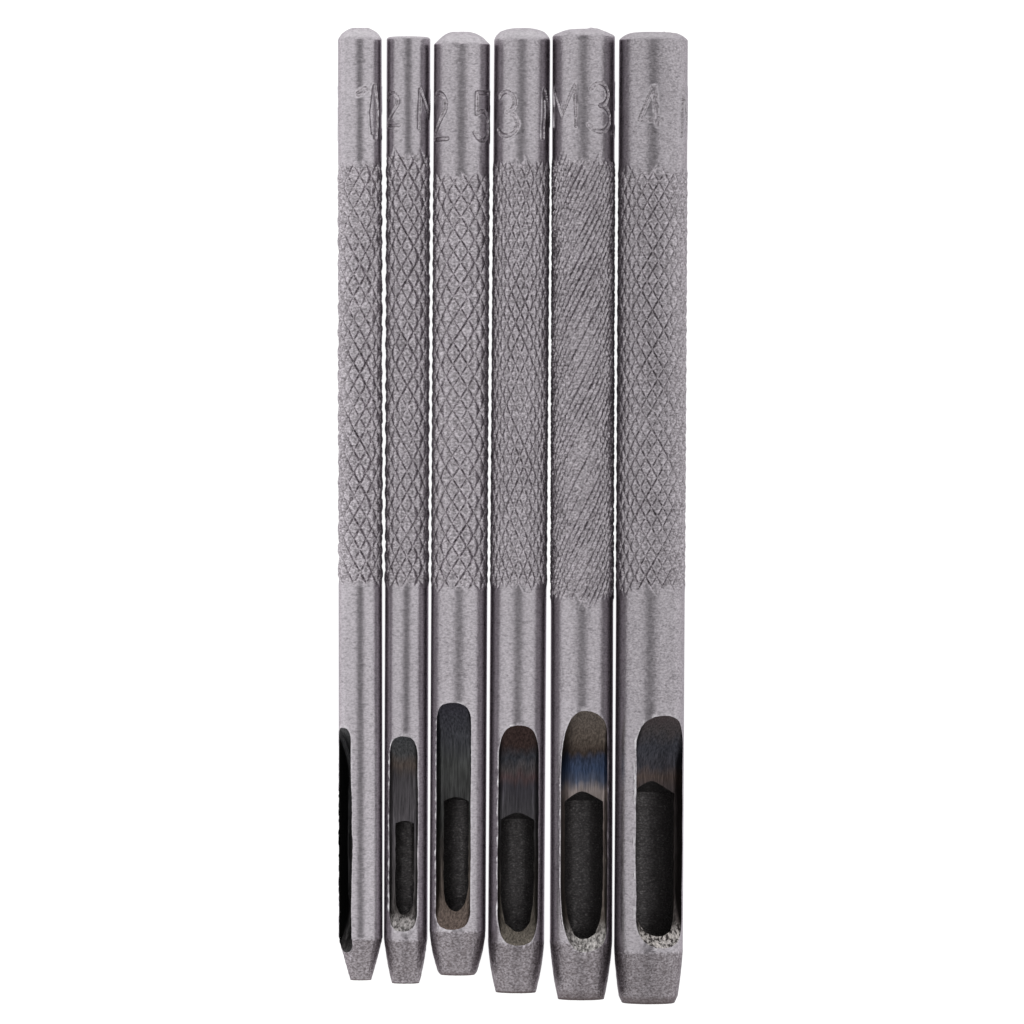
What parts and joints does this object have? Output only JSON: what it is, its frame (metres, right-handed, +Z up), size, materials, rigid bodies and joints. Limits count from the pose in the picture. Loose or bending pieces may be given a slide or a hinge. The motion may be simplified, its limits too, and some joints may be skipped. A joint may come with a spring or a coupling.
{
  "type": "drive hole punch set",
  "caption": "Graded set of steel drive hole punches with knurled grips, side slug slots and round cutting bores, laid side by side",
  "frame": {"origin": "under the middle of the row, on the surface the punches lie on", "axes": "+Y along the punches from the cutting edges to the heads, +X across the row from the smallest punch to the largest, +Z up"},
  "size_m": [0.028, 0.078, 0.0056],
  "materials": {
    "punch_steel": "satin, fine grained, with darker heat-tinted slots"
  },
  "bodies": {
    "punch_4mm": {"punch_4mm": "punch_steel"},
    "punch_3_5mm": {"punch_3_5mm": "punch_steel"},
    "punch_3mm": {"punch_3mm": "punch_steel"},
    "punch_2_5mm": {"punch_2_5mm": "punch_steel"},
    "punch_2mm": {"punch_2mm": "punch_steel"},
    "punch_1_5mm": {"punch_1_5mm": "punch_steel"}
  },
  "joints": [
    {"name": "lift_1_5mm", "type": "slide", "parent": "punch_4mm", "child": "punch_1_5mm", "axis": [0, 0, 1], "range_m": [0, 0.03]},
    {"name": "lift_2mm", "type": "slide", "parent": "punch_4mm", "child": "punch_2mm", "axis": [0, 0, 1], "range_m": [0, 0.03]},
    {"name": "lift_2_5mm", "type": "slide", "parent": "punch_4mm", "child": "punch_2_5mm", "axis": [0, 0, 1], "range_m": [0, 0.03]},
    {"name": "lift_3mm", "type": "slide", "parent": "punch_4mm", "child": "punch_3mm", "axis": [0, 0, 1], "range_m": [0, 0.03]},
    {"name": "lift_3_5mm", "type": "slide", "parent": "punch_4mm", "child": "punch_3_5mm", "axis": [0, 0, 1], "range_m": [0, 0.03]}
  ]
}
